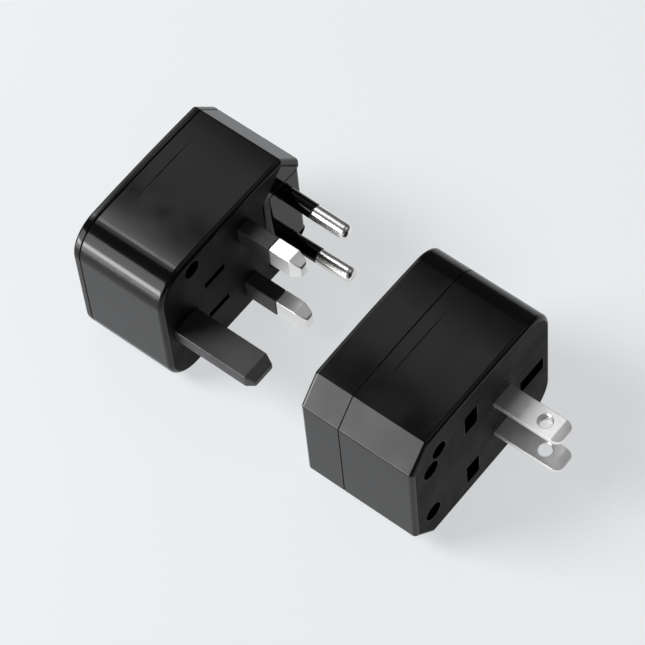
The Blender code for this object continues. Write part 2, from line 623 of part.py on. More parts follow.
def main():
    clear_scene()
    shell = material("glossy_black_plastic", BLACK, 0.22, 0.0)
    textured = material("textured_black_plastic", BLACK, 0.42, 0.0)
    sleeve = material("black_pin_sleeve", BLACK, 0.30, 0.0)
    nickel = material("nickel_plate", NICKEL, 0.18, 1.0)
    brass = material("contact_brass", BRASS, 0.30, 1.0)
    bronze = material("spring_bronze", BRONZE, 0.35, 1.0)
    steel = material("zinc_steel", STEEL, 0.35, 1.0)
    insulator = material("white_insulator", WHITE, 0.50, 0.0)

    make_uk_front(shell)
    make_uk_cover(shell)
    make_uk_pins(nickel, sleeve, shell)
    make_swivel(shell, nickel, sleeve, brass)
    make_uk_inside(brass, bronze, steel, insulator)
    make_screw("uk_case_screw", (UK_SCREW[0], PIN_Z + UK_SCREW[1]), steel, UK_ORIGIN)

    make_us_front(shell)
    make_us_cover(shell)
    make_us_blades(nickel, textured)
    make_us_inside(brass, bronze, steel, insulator)
    make_screw("us_case_screw", (US_SCREW[0], PIN_Z + US_SCREW[1]), steel, US_ORIGIN)


main()
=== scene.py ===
"""Looks of the two-piece travel adapter: finer shells and pins, finishes, and a plain studio.

Shapes are drawn in millimetres about each half's own front face, as in the model: x = 0 at the
face, y = 0 at the line of its flat pins and z = 0 at the table.
"""
import math

import bmesh
import bpy
from mathutils import Matrix, Vector


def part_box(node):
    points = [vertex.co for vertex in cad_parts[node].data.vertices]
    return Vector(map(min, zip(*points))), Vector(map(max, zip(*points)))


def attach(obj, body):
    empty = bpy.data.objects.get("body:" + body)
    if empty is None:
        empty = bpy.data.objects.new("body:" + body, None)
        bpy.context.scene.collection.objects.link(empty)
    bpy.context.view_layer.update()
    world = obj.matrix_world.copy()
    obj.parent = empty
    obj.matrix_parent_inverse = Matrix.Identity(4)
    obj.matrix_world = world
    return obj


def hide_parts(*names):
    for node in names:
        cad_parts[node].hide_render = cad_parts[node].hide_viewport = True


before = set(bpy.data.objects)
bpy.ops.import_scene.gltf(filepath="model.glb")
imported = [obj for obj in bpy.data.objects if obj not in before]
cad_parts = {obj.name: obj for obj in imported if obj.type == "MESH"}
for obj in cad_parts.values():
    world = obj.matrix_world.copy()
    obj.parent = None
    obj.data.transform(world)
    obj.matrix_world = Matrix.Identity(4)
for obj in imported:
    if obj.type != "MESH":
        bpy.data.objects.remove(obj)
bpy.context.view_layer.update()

MM = 0.001


# ---------------------------------------------------------------- places, from the frame

def box_mm(node):
    low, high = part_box(node)
    return low / MM, high / MM


def centre_mm(node):
    low, high = box_mm(node)
    return (low + high) / 2


UK_LOW, UK_HIGH = box_mm("uk_front_housing")
US_LOW, US_HIGH = box_mm("us_front_housing")
UK_ORIGIN = Vector((UK_HIGH.x, centre_mm("line_pin").y, 0.0))
US_ORIGIN = Vector((US_HIGH.x, centre_mm("us_blade_upper").y, 0.0))
HEIGHT = UK_HIGH.z
PIN_Z = (centre_mm("us_blade_upper").z + centre_mm("us_blade_lower").z) / 2

UK_ROUND_Y = UK_LOW.y - UK_ORIGIN.y
UK_CHAMFER_Y = UK_HIGH.y - UK_ORIGIN.y
UK_REAR = box_mm("uk_rear_cover")[0].x - UK_ORIGIN.x
UK_SEAM_FRONT = UK_LOW.x - UK_ORIGIN.x
US_ROUND_Y = US_HIGH.y - US_ORIGIN.y
US_CHAMFER_Y = US_LOW.y - US_ORIGIN.y
US_REAR = box_mm("us_rear_cover")[0].x - US_ORIGIN.x
US_SEAM_FRONT = US_LOW.x - US_ORIGIN.x

UK_LN_HALF = (centre_mm("neutral_pin").z - centre_mm("line_pin").z) / 2
EARTH_Y = centre_mm("earth_pin").y - UK_ORIGIN.y
US_HALF = (centre_mm("us_blade_upper").z - centre_mm("us_blade_lower").z) / 2
UK_SCREW = (centre_mm("uk_case_screw").y - UK_ORIGIN.y, centre_mm("uk_case_screw").z)
US_SCREW = (centre_mm("us_case_screw").y - US_ORIGIN.y, centre_mm("us_case_screw").z)

# Sizes that the model also uses
SEAM_GAP = 0.3
WALL = 1.8
US_COVER_WALL = 2.8
LIP_LENGTH = 1.5
LIP_WIDTH = 1.0
CORNER_RADIUS = 8.5
CHAMFER_Y = 5.9
CHAMFER_TOP = 7.1
CHAMFER_BOTTOM = 6.4
EDGE_RADIUS = 1.3
REAR_EDGE_RADIUS = 0.9
UK_PIN_Y = 4.0
UK_PIN_Z = 6.35
UK_CORE_Y = 2.6
UK_CORE_Z = 4.6
EARTH_WIDTH = 8.05
EARTH_THICK = 4.0
SLEEVE_END = 9.0
EU_Y = 14.5
EU_HALF = 9.6
EU_LEAN = math.radians(1.7)
EU_LENGTH = 19.0
EU_RADIUS = 2.0
EU_CORE_RADIUS = 1.4
EU_SLEEVE_BORE = 1.6
BLADE_HALF_WIDTH = 3.175
BLADE_HALF_THICK = 0.75
BLADE_LENGTH = 17.7
BLADE_START = -9.5
BLADE_HOLE_X = 11.8
BLADE_HOLE_RADIUS = 1.7
SWIVEL_X = -9.8
SWIVEL_Y = UK_CHAMFER_Y + SWIVEL_X
SWIVEL_FLAT = 9.5              # from the axis to each flat face
SWIVEL_HUB = 4.0
SWIVEL_EDGE_RADIUS = 1.2
SWIVEL_INNER_RADIUS = 3.2      # front edge nearest the pin line
SWIVEL_HALF_HEIGHT = 12.4
SWIVEL_END_BACK = -2.5
SWIVEL_SHOULDER = 6.0
STUB_HOLE_RADIUS = 1.6
POCKET_BACK = -20.6
POCKET_SIDE = 6.8
POCKET_HALF_HEIGHT = 12.7
POCKET_WALL = 1.5
FACE_RELIEF = 0.35
# Outline in (y, z) of the relief round the pocket, open at the side
RELIEF = ((6.8, 6.3), (13.0, 0.1), (20.9, 8.8), (30.0, 8.8),
          (30.0, 31.4), (20.9, 31.4), (14.4, 39.3), (6.8, 31.7))
BOSS_RADIUS = 3.0
BOSS_END = -12.0
SCREW_HOLE_RADIUS = 2.3
SCREW_SHAFT_HOLE = 1.35
SCREW_SEAT = -6.0
BLADE_SLOT_Y = -11.2
STORE_LN_Y = -11.2
STORE_EARTH_Y = 11.0
STORE_EU = (-25.7, 9.4)        # y and half spacing
SOCKET_SHIFT = -2.4            # the US half's socket lines up with the UK half's pins

# Details that only the looks have, or draw differently from the model
ROTOR_HOLE_RADIUS = 4.45       # 4.6 in the model
ROTOR_RADIUS = 4.35            # 4.3 in the model
BLADE_NOSE = 2.4               # rounded, where the model's tip is a 1.5 taper
CHAMFER_SOFTNESS = 0.7
CROWN = math.radians(2.2)      # how far the top leans down at its two long edges
HOLE_SOFTNESS = 0.1
RELIEF_GROOVE = 0.26           # width of the groove round the relief
CREASE_UK = -20.2
CREASE_US = -16.9
EU_NOSE = 1.5                  # rounding radius of the European pins' tips


# ---------------------------------------------------------------- shapes

def loft(rings, ring_shaped=False):
    """Skin rings of equal length into one closed body."""
    bm = bmesh.new()
    loops = [[bm.verts.new(point) for point in ring] for ring in rings]
    pairs = list(zip(loops, loops[1:]))
    if ring_shaped:
        pairs.append((loops[-1], loops[0]))
    else:
        bm.faces.new(loops[0])
        bm.faces.new(loops[-1])
    for first, second in pairs:
        for i in range(len(first)):
            j = (i + 1) % len(first)
            bm.faces.new((first[i], first[j], second[j], second[i]))
    bmesh.ops.recalc_face_normals(bm, faces=bm.faces)
    return bm


def merge(*shapes):
    """Put separate closed shapes into one mesh."""
    whole = bmesh.new()
    for shape in shapes:
        piece = bpy.data.meshes.new("merge")
        shape.to_mesh(piece)
        whole.from_mesh(piece)
        shape.free()
        bpy.data.meshes.remove(piece)
    return whole


def arc(centre, radius, start, end, steps):
    """Points on an arc, angles in degrees."""
    angles = [math.radians(start + (end - start) * i / steps) for i in range(steps + 1)]
    return [(centre[0] + radius * math.cos(a), centre[1] + radius * math.sin(a)) for a in angles]


def one_corner(around, steps):
    """The arc that replaces the middle of three (u, v, radius) corners."""
    before, here, after = (Vector(corner[:2]) for corner in around)
    radius = around[1][2]
    to_before, to_after = (before - here).normalized(), (after - here).normalized()
    half = to_before.angle(to_after) / 2
    centre = here + (to_before + to_after).normalized() * (radius / math.sin(half))
    first = here + to_before * (radius / math.tan(half)) - centre
    last = here + to_after * (radius / math.tan(half)) - centre
    start, end = math.atan2(first.y, first.x), math.atan2(last.y, last.x)
    sweep = (end - start + math.pi) % (2 * math.pi) - math.pi
    return [(centre.x + radius * math.cos(start + sweep * k / steps),
             centre.y + radius * math.sin(start + sweep * k / steps)) for k in range(steps + 1)]


def rounded(corners, steps):
    """A polygon of (u, v, radius) corners with each corner turned into an arc."""
    points = []
    for i in range(len(corners)):
        points += one_corner([corners[i - 1], corners[i], corners[(i + 1) % len(corners)]], steps)
    return points


def rectangle(centre, half_width, half_height, radius):
    """The corners that rounded() needs, counter-clockwise."""
    return [(centre[0] + u, centre[1] + v, radius)
            for u, v in ((-half_width, -half_height), (half_width, -half_height),
                         (half_width, half_height), (-half_width, half_height))]


def block(x, y, z):
    ring = [(y[0], z[0]), (y[1], z[0]), (y[1], z[1]), (y[0], z[1])]
    return loft([[(at, *point) for point in ring] for at in x])


def rounded_block(x, y, z, radius, steps=4):
    """A box along X whose long edges are rounded."""
    corners = [(y[0], z[0], radius), (y[1], z[0], radius),
               (y[1], z[1], radius), (y[0], z[1], radius)]
    ring = rounded(corners, steps)
    return loft([[(at, *point) for point in ring] for at in x])


def turned(profile, centre, steps=48, ring_shaped=False):
    """A round body along X through a profile of (x, radius)."""
    rings = []
    for x, radius in profile:
        angles = [2 * math.pi * i / steps for i in range(steps)]
        rings.append([(x, centre[0] + radius * math.cos(a), centre[1] + radius * math.sin(a))
                      for a in angles])
    return loft(rings, ring_shaped)


def hole_through(x, centre, half_y, half_z, radius):
    """A rounded box along X, given by its middle and half sizes."""
    return rounded_block(x, (centre[0] - half_y, centre[0] + half_y),
                         (centre[1] - half_z, centre[1] + half_z), radius)


def extruded_up(outline, z):
    return loft([[(*point, at) for point in outline] for at in z])


def inset(points, depth):
    """Move every edge of a counter-clockwise polygon inwards by depth."""
    count = len(points)
    moved = []
    for i in range(count):
        before, here, after = (Vector(points[(i + k) % count]) for k in (-1, 0, 1))
        first, second = (here - before).normalized(), (after - here).normalized()
        bisector = Vector((-first.y - second.y, first.x + second.x))
        moved.append(tuple(here + bisector * (2 * depth / bisector.length_squared)))
    return moved


def case_ring(x, depth, round_y, chamfer_y):
    """The case's outline at x, moved in by depth: two round corners, two chamfers, a crowned top."""
    side = 1 if chamfer_y > round_y else -1
    length = abs(chamfer_y - round_y)
    corner = length - CHAMFER_Y
    middle = (corner + CORNER_RADIUS) / 2
    slope = math.tan(CROWN)
    apex = HEIGHT + (corner - middle) * math.sin(CROWN) / 2
    round_radius = max(CORNER_RADIUS - depth, 0.5)
    soft = max(CHAMFER_SOFTNESS - depth * 0.5, 0.2)
    corners = [((0.0, 0.0), round_radius, 20), ((corner, 0.0), soft, 5),
               ((length, CHAMFER_BOTTOM), soft, 5), ((length, HEIGHT - CHAMFER_TOP), soft, 5),
               ((corner, apex - slope * (corner - middle)), soft, 5),
               ((middle, apex), (corner - middle - 2.5) / math.tan(CROWN), 14),
               ((0.0, apex - slope * middle), round_radius, 20)]
    moved = inset([place for place, _, _ in corners], depth)
    points = []
    for i, (_, radius, steps) in enumerate(corners):
        around = [(*moved[k % len(moved)], radius) for k in (i - 1, i, i + 1)]
        points += one_corner(around, steps)
    points = [(x, round_y + side * y, z) for y, z in points]
    return points if side > 0 else points[::-1]


def case(stations, round_y, chamfer_y):
    return loft([case_ring(x, depth, round_y, chamfer_y) for x, depth in stations])


def rounded_edge(x, radius, direction, steps=8):
    """Stations (x, inset) round the outer edge of a face at x, starting on the face."""
    angles = [math.radians(90 * i / steps) for i in range(steps + 1)]
    return [(x - direction * radius * (1 - math.cos(a)), radius * (1 - math.sin(a)))
            for a in angles]


# ---------------------------------------------------------------- objects

def add(name, shape, surface, origin):
    bmesh.ops.translate(shape, verts=shape.verts, vec=origin)
    bmesh.ops.scale(shape, verts=shape.verts, vec=(MM, MM, MM))
    mesh = bpy.data.meshes.new(name)
    shape.to_mesh(mesh)
    shape.free()
    item = bpy.data.objects.new(name, mesh)
    bpy.context.collection.objects.link(item)
    if surface is not None:
        mesh.materials.append(surface)
    return item


def applied(item):
    """Replace the object's mesh with what its modifiers make."""
    bpy.context.view_layer.update()
    graph = bpy.context.evaluated_depsgraph_get()
    mesh = bpy.data.meshes.new_from_object(item.evaluated_get(graph))
    old = item.data
    item.modifiers.clear()
    item.data = mesh
    bpy.data.meshes.remove(old)


def carve(item, shape, origin, operation="DIFFERENCE"):
    cutter = add("cutter", shape, None, origin)
    step = item.modifiers.new("carve", "BOOLEAN")
    step.operation = operation
    step.object = cutter
    applied(item)
    bpy.data.objects.remove(cutter, do_unlink=True)


def soften_rims(item, planes, width):
    """Bevel the sharp edges of openings that lie in the given planes of x."""
    bm = bmesh.new()
    bm.from_mesh(item.data)
    weight = bm.edges.layers.float.new("bevel_weight_edge")
    for edge in bm.edges:
        on_plane = any(all(abs(v.co.x / MM - x) < 0.01 for v in edge.verts) for x in planes)
        if on_plane and edge.is_manifold and edge.calc_face_angle(0.0) > math.radians(50):
            edge[weight] = 1.0
    bm.to_mesh(item.data)
    bm.free()
    step = item.modifiers.new("rims", "BEVEL")
    step.limit_method = "WEIGHT"
    step.width = width * MM
    step.segments = 2
    applied(item)


def finish(item, body, *nodes, slot=None, sharp=32):
    """Shade, weight the normals towards the flat faces, and hand the piece to its body."""
    item.data.shade_smooth()
    item.data.set_sharp_from_angle(angle=math.radians(sharp))
    step = item.modifiers.new("normals", "WEIGHTED_NORMAL")
    step.keep_sharp = True
    step.weight = 100
    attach(item, body)
    if nodes:
        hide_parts(*nodes)


# ---------------------------------------------------------------- finishes

def node(tree, kind, **values):
    made = tree.nodes.new(kind)
    for name, value in values.items():
        setattr(made, name, value)
    return made


def ranged(tree, source, low, high, start=0.0, end=1.0):
    """Map a value from start..end to low..high."""
    step = node(tree, "ShaderNodeMapRange")
    for name, value in (("From Min", start), ("From Max", end), ("To Min", low), ("To Max", high)):
        step.inputs[name].default_value = value
    tree.links.new(source, step.inputs["Value"])
    return step.outputs["Result"]


def noise(tree, place, scale, detail=3.0):
    step = node(tree, "ShaderNodeTexNoise")
    step.inputs["Scale"].default_value = scale
    step.inputs["Detail"].default_value = detail
    tree.links.new(place, step.inputs["Vector"])
    return step.outputs["Fac"]


def stretched(tree, place, scale):
    step = node(tree, "ShaderNodeMapping")
    step.inputs["Scale"].default_value = scale
    tree.links.new(place, step.inputs["Vector"])
    return step.outputs["Vector"]


def worn_edges(tree, place, radius):
    """One on sharp edges, broken up by noise, nought on the flats."""
    bevel = node(tree, "ShaderNodeBevel", samples=4)
    bevel.inputs["Radius"].default_value = radius
    geometry = node(tree, "ShaderNodeNewGeometry")
    dot = node(tree, "ShaderNodeVectorMath", operation="DOT_PRODUCT")
    tree.links.new(bevel.outputs["Normal"], dot.inputs[0])
    tree.links.new(geometry.outputs["Normal"], dot.inputs[1])
    edge = ranged(tree, dot.outputs["Value"], 1.0, 0.0, 0.86, 0.995)
    patches = ranged(tree, noise(tree, place, 700.0), 0.15, 1.0, 0.4, 0.62)
    both = node(tree, "ShaderNodeMath", operation="MULTIPLY")
    tree.links.new(edge, both.inputs[0])
    tree.links.new(patches, both.inputs[1])
    return both.outputs["Value"]


def finish_material(name, colour, worn, rough, grain, metallic=0.0, ior=1.33, brushed=None):
    """One moulded or plated finish.

    colour and worn are the base and rubbed colours, rough the least and most roughness, and
    grain the (scale, height in millimetres) of the fine relief. brushed stretches the grain.
    """
    surface = bpy.data.materials.new(name)
    surface.use_nodes = True
    tree = surface.node_tree
    shader = tree.nodes["Principled BSDF"]
    shader.inputs["Metallic"].default_value = metallic
    shader.inputs["IOR"].default_value = ior
    place = node(tree, "ShaderNodeTexCoord").outputs["Object"]
    fine_place = stretched(tree, place, brushed) if brushed else place

    wear = worn_edges(tree, place, 0.00025)
    tint = node(tree, "ShaderNodeMix", data_type="RGBA")
    tint.inputs["A"].default_value = (*colour, 1.0)
    tint.inputs["B"].default_value = (*[min(1.0, c * 1.35 + 0.001) for c in colour], 1.0)
    cloud = noise(tree, place, 90.0, 5.0)
    tree.links.new(ranged(tree, cloud, 0.0, 1.0, 0.35, 0.65), tint.inputs["Factor"])
    rubbed = node(tree, "ShaderNodeMix", data_type="RGBA")
    rubbed.inputs["B"].default_value = (*worn, 1.0)
    tree.links.new(tint.outputs["Result"], rubbed.inputs["A"])
    tree.links.new(wear, rubbed.inputs["Factor"])
    tree.links.new(rubbed.outputs["Result"], shader.inputs["Base Color"])

    smudge = ranged(tree, noise(tree, place, 140.0, 4.0), rough[0], rough[1], 0.35, 0.65)
    total = node(tree, "ShaderNodeMath", operation="MULTIPLY_ADD")
    total.inputs[1].default_value = 0.12
    tree.links.new(wear, total.inputs[0])
    tree.links.new(smudge, total.inputs[2])
    tree.links.new(total.outputs["Value"], shader.inputs["Roughness"])

    bump = node(tree, "ShaderNodeBump")
    bump.inputs["Strength"].default_value = 1.0
    bump.inputs["Distance"].default_value = grain[1] * MM
    tree.links.new(noise(tree, fine_place, grain[0], 2.0), bump.inputs["Height"])
    tree.links.new(bump.outputs["Normal"], shader.inputs["Normal"])
    return surface


BLACK = (0.0022, 0.0022, 0.0024)
RUBBED_BLACK = (0.02, 0.02, 0.021)
GLOSS = finish_material("gloss_black", BLACK, RUBBED_BLACK, (0.12, 0.17), (1500.0, 0.0006))
MIRROR = finish_material("polished_black", BLACK, RUBBED_BLACK, (0.05, 0.09), (1200.0, 0.0003))
SPARK = finish_material("spark_textured_black", (0.003, 0.003, 0.0034), RUBBED_BLACK, (0.55, 0.65),
                        (4200.0, 0.006), ior=1.22)
SLEEVE = finish_material("sleeve_black", (0.05, 0.05, 0.052), (0.085, 0.085, 0.085), (0.34, 0.42),
                         (2600.0, 0.002))
NICKEL = finish_material("satin_nickel", (0.93, 0.92, 0.90), (0.96, 0.95, 0.93), (0.36, 0.42),
                         (1800.0, 0.0003), metallic=1.0, brushed=(0.15, 1.0, 1.0))
BRIGHT = finish_material("bright_nickel", (0.80, 0.78, 0.75), (0.88, 0.87, 0.85), (0.22, 0.26),
                         (700.0, 0.00001), metallic=1.0)
BRASS = finish_material("stamped_brass", (0.62, 0.42, 0.15), (0.8, 0.62, 0.3), (0.25, 0.38),
                        (2500.0, 0.001), metallic=1.0)
BRONZE = finish_material("spring_bronze_strip", (0.5, 0.28, 0.14), (0.7, 0.45, 0.28), (0.28, 0.4),
                         (2500.0, 0.001), metallic=1.0)
STEEL = finish_material("zinc_plated_steel", (0.45, 0.46, 0.48), (0.65, 0.66, 0.68), (0.25, 0.4),
                        (2500.0, 0.001), metallic=1.0)
INSULATOR = finish_material("moulded_insulator", (0.62, 0.62, 0.58), (0.75, 0.75, 0.72), (0.4, 0.55),
                            (2200.0, 0.003), ior=1.45)


# ---------------------------------------------------------------- shells

def crease(x, low_y, high_y):
    """Cutter for a hair-thin line in the top that fades out at both ends."""
    rings = []
    count = 16
    for i in range(count + 1):
        t = i / count
        depth = 0.02 + 0.16 * math.sin(math.pi * t) ** 0.7
        y = low_y + (high_y - low_y) * t
        rings.append([(x - 0.16, y, HEIGHT + 0.1), (x + 0.16, y, HEIGHT + 0.1),
                      (x, y, HEIGHT - depth)])
    return loft(rings)


def socket(line_y, earth_y, x, round_part):
    """Cutters for one universal socket; round_part is (y, half spacing, radius)."""
    shapes = []
    for sign in (1, -1):
        heights = sorted((PIN_Z + sign * 7.4, PIN_Z + sign * 14.9))
        shapes.append(rounded_block(x, (line_y - 2.6, line_y + 2.6), heights, 0.3))
    shapes.append(hole_through(x, (earth_y, PIN_Z), 4.35, 2.4, 0.3))
    blades, rounds = [], []
    for sign in (1, -1):
        heights = sorted((PIN_Z + sign * 5.4, PIN_Z + sign * 7.8))
        blades.append(block(x, (line_y - 3.6, line_y + 3.6), heights))
        y, half, radius = round_part
        rounds.append(turned([(at, radius) for at in x], (y, PIN_Z + sign * half)))
    return merge(*shapes), merge(*blades), merge(*rounds)


def screw_bore(place):
    return turned([(2.0, SCREW_HOLE_RADIUS), (SCREW_SEAT, SCREW_HOLE_RADIUS),
                   (SCREW_SEAT, SCREW_SHAFT_HOLE), (BOSS_END - 1, SCREW_SHAFT_HOLE)], place)


def boss():
    return [(-1.0, BOSS_RADIUS), (BOSS_END, BOSS_RADIUS)]


def face_finish(shell, surface, x):
    """Give the flat parts that face forward at x their own finish."""
    shell.data.materials.append(surface)
    for face in shell.data.polygons:
        if abs(face.center.x / MM - x) < 0.02 and face.normal.x > 0.99:
            face.material_index = len(shell.data.materials) - 1


def stub_hole(sign, start, end):
    """Cutter for the swivel's pivot, from start to end above or below the pins' middle."""
    heights = sorted((PIN_Z + sign * start, PIN_Z + sign * end))
    return extruded_up(arc((SWIVEL_X, SWIVEL_Y), STUB_HOLE_RADIUS, 0, 352.5, 47), heights)


def make_uk_shell():
    stations = rounded_edge(0.0, EDGE_RADIUS, 1)
    stations += [(UK_SEAM_FRONT, 0.0), (UK_SEAM_FRONT, WALL), (-WALL - 0.2, WALL)]
    shell = add("uk_shell", case(stations, UK_ROUND_Y, UK_CHAMFER_Y), GLOSS, UK_ORIGIN)
    low, high = PIN_Z - POCKET_HALF_HEIGHT, PIN_Z + POCKET_HALF_HEIGHT
    walls = block((POCKET_BACK - POCKET_WALL, -1.0), (POCKET_SIDE - POCKET_WALL, UK_CHAMFER_Y - 0.8),
                  (low - POCKET_WALL, high + POCKET_WALL))
    carve(shell, walls, UK_ORIGIN, "UNION")
    carve(shell, turned(boss(), UK_SCREW), UK_ORIGIN, "UNION")
    carve(shell, loft([[(x, *p) for p in RELIEF] for x in (-FACE_RELIEF, 3.0)]), UK_ORIGIN)
    inner = inset(RELIEF, RELIEF_GROOVE)
    groove = [[(x, *p) for p in outline] for x, outline in
              ((2.0, RELIEF), (-1.1, RELIEF), (-1.1, inner), (2.0, inner))]
    carve(shell, loft(groove, ring_shaped=True), UK_ORIGIN)
    carve(shell, block((POCKET_BACK, 4.0), (POCKET_SIDE, 30.0), (low, high)), UK_ORIGIN)
    holes = [screw_bore(UK_SCREW)]
    depth = (-4.0, 4.0)
    for sign in (1, -1):
        holes.append(hole_through(depth, (0.0, PIN_Z + sign * UK_LN_HALF), 2.12, 3.3, 0.3))
        holes.append(hole_through(depth, (BLADE_SLOT_Y, PIN_Z + sign * US_HALF), 3.5, 0.95, 0.2))
    holes.append(hole_through(depth, (EARTH_Y, PIN_Z), 4.15, 2.12, 0.3))
    carve(shell, merge(*holes), UK_ORIGIN)
    carve(shell, merge(*[stub_hole(sign, POCKET_HALF_HEIGHT - 1, POCKET_HALF_HEIGHT + 2.5)
                         for sign in (1, -1)]), UK_ORIGIN)
    carve(shell, crease(CREASE_UK, UK_ROUND_Y + 9.5, 13.0), UK_ORIGIN)
    soften_rims(shell, (UK_ORIGIN.x,), HOLE_SOFTNESS)
    face_finish(shell, SPARK, UK_ORIGIN.x)
    face_finish(shell, MIRROR, UK_ORIGIN.x - FACE_RELIEF)
    finish(shell, "uk_half", "uk_front_housing", slot="glossy_black_plastic")


def make_uk_cover():
    plate = UK_SEAM_FRONT - SEAM_GAP
    lip = WALL + SEAM_GAP
    stations = rounded_edge(UK_REAR, REAR_EDGE_RADIUS, -1)
    stations += [(plate - 0.25, 0.0), (plate - 0.07, 0.07), (plate, 0.25), (plate, lip),
                 (plate + LIP_LENGTH, lip), (plate + LIP_LENGTH, lip + LIP_WIDTH),
                 (plate, lip + LIP_WIDTH)]
    cover = add("uk_cover", case(stations, UK_ROUND_Y, UK_CHAMFER_Y), GLOSS, UK_ORIGIN)
    carve(cover, turned([(plate - 0.8, 2.2), (-12.3, 2.2)], UK_SCREW), UK_ORIGIN, "UNION")
    carve(cover, turned([(-20.0, 1.15), (-11.0, 1.15)], UK_SCREW), UK_ORIGIN)
    for cutter in socket(0.0, EARTH_Y, (UK_REAR - 2, plate + 2.0), (-4.4, 9.5, 2.5)):
        carve(cover, cutter, UK_ORIGIN)
    soften_rims(cover, (UK_ORIGIN.x + UK_REAR,), HOLE_SOFTNESS)
    finish(cover, "uk_half", "uk_rear_cover", slot="glossy_black_plastic")


def make_us_shell():
    stations = rounded_edge(0.0, EDGE_RADIUS, 1)
    stations += [(US_SEAM_FRONT, 0.0), (US_SEAM_FRONT, WALL), (-WALL - 0.2, WALL)]
    shell = add("us_shell", case(stations, US_ROUND_Y, US_CHAMFER_Y), GLOSS, US_ORIGIN)
    carve(shell, turned(boss(), US_SCREW), US_ORIGIN, "UNION")
    depth = (-4.0, 4.0)
    holes = [screw_bore(US_SCREW), hole_through(depth, (STORE_EARTH_Y, PIN_Z), 4.3, 2.25, 0.25)]
    for sign in (1, -1):
        holes.append(hole_through(depth, (STORE_LN_Y, PIN_Z + sign * UK_LN_HALF), 2.25, 3.4, 0.25))
        y, half = STORE_EU
        holes.append(turned([(x, 2.5) for x in depth], (y, PIN_Z + sign * half)))
        holes.append(turned([(x, ROTOR_HOLE_RADIUS) for x in depth],
                            (0.0, PIN_Z + sign * US_HALF), 64))
    carve(shell, merge(*holes), US_ORIGIN)
    carve(shell, crease(CREASE_US, -22.0, 12.0), US_ORIGIN)
    soften_rims(shell, (US_ORIGIN.x,), HOLE_SOFTNESS)
    face_finish(shell, SPARK, US_ORIGIN.x)
    finish(shell, "us_half", "us_front_housing", slot="glossy_black_plastic")


def make_us_cover():
    rim = US_SEAM_FRONT - SEAM_GAP
    lip = WALL + SEAM_GAP
    stations = rounded_edge(US_REAR, REAR_EDGE_RADIUS, -1)
    stations += [(rim, 0.0), (rim, lip), (rim + LIP_LENGTH, lip),
                 (rim + LIP_LENGTH, US_COVER_WALL), (US_REAR + WALL, US_COVER_WALL)]
    cover = add("us_cover", case(stations, US_ROUND_Y, US_CHAMFER_Y), GLOSS, US_ORIGIN)
    carve(cover, turned([(US_REAR + 1.2, 2.2), (-12.3, 2.2)], US_SCREW), US_ORIGIN, "UNION")
    carve(cover, turned([(-20.0, 1.15), (-11.0, 1.15)], US_SCREW), US_ORIGIN)
    through = (US_REAR - 2, US_REAR + WALL + 0.5)
    rounds = (EU_Y + SOCKET_SHIFT, 9.35, 2.7)
    for cutter in socket(SOCKET_SHIFT, SOCKET_SHIFT + EARTH_Y, through, rounds):
        carve(cover, cutter, US_ORIGIN)
    soften_rims(cover, (US_ORIGIN.x + US_REAR,), HOLE_SOFTNESS)
    finish(cover, "us_half", "us_rear_cover", slot="glossy_black_plastic")


# ---------------------------------------------------------------- pins

def bar(sections, centre, ring_shaped=False):
    """A bar along X through sections of (x, width, height, corner radius)."""
    rings = []
    for x, width, height, radius in sections:
        ring = rounded(rectangle(centre, width / 2, height / 2, radius), 3)
        rings.append([(x, *point) for point in ring])
    return loft(rings, ring_shaped)


def make_uk_pins():
    """Plated pins whose metal starts a little in front of their sleeves, and the earth pin."""
    metal_start, sleeve_end = SLEEVE_END + 0.15, SLEEVE_END - 0.15
    for name, sign in (("line", -1), ("neutral", 1)):
        centre = (0.0, PIN_Z + sign * UK_LN_HALF)
        pin = add(f"{name}_pin_plated", bar([
            (-5.8, UK_CORE_Y, UK_CORE_Z, 0.2), (metal_start, UK_CORE_Y, UK_CORE_Z, 0.2),
            (metal_start, 3.9, 6.25, 0.25), (metal_start + 0.12, UK_PIN_Y, UK_PIN_Z, 0.25),
            (14.6, UK_PIN_Y, UK_PIN_Z, 0.25), (14.9, 3.94, 6.29, 0.27), (17.0, 2.75, 4.5, 0.35),
            (17.35, 2.4, 4.1, 0.4), (17.6, 1.9, 3.6, 0.4), (17.7, 1.4, 3.1, 0.4)],
            centre), NICKEL, UK_ORIGIN)
        finish(pin, "uk_half", f"{name}_pin", slot="nickel_plate", sharp=24)
        tube = add(f"{name}_pin_insulation", bar([
            (-2.7, UK_PIN_Y, UK_PIN_Z, 0.3), (sleeve_end - 0.1, UK_PIN_Y, UK_PIN_Z, 0.3),
            (sleeve_end, 3.8, 6.15, 0.3), (sleeve_end, 3.0, 5.0, 0.2), (-2.7, 3.0, 5.0, 0.2)],
            centre, ring_shaped=True), SLEEVE, UK_ORIGIN)
        finish(tube, "uk_half", f"{name}_pin_sleeve", slot="black_pin_sleeve")
    earth = add("earth_pin_moulded", bar([
        (-4.4, 9.25, 6.6, 0.4), (-2.6, 9.25, 6.6, 0.4), (-2.6, EARTH_WIDTH, EARTH_THICK, 0.4),
        (20.2, EARTH_WIDTH, EARTH_THICK, 0.4), (20.5, 7.95, 3.9, 0.45), (22.3, 6.4, 2.4, 0.45),
        (22.6, 6.1, 2.1, 0.45), (22.7, 5.8, 1.8, 0.45)],
        (EARTH_Y, PIN_Z)), SLEEVE, UK_ORIGIN)
    finish(earth, "uk_half", "earth_pin", slot="glossy_black_plastic", sharp=24)


def leaning(shape, sign):
    root = Vector((0, EU_Y, PIN_Z + sign * EU_HALF))
    turn = Matrix.Translation(root) @ Matrix.Rotation(sign * EU_LEAN, 4, "Y")
    bmesh.ops.transform(shape, matrix=turn @ Matrix.Translation(-root), verts=shape.verts)
    return shape


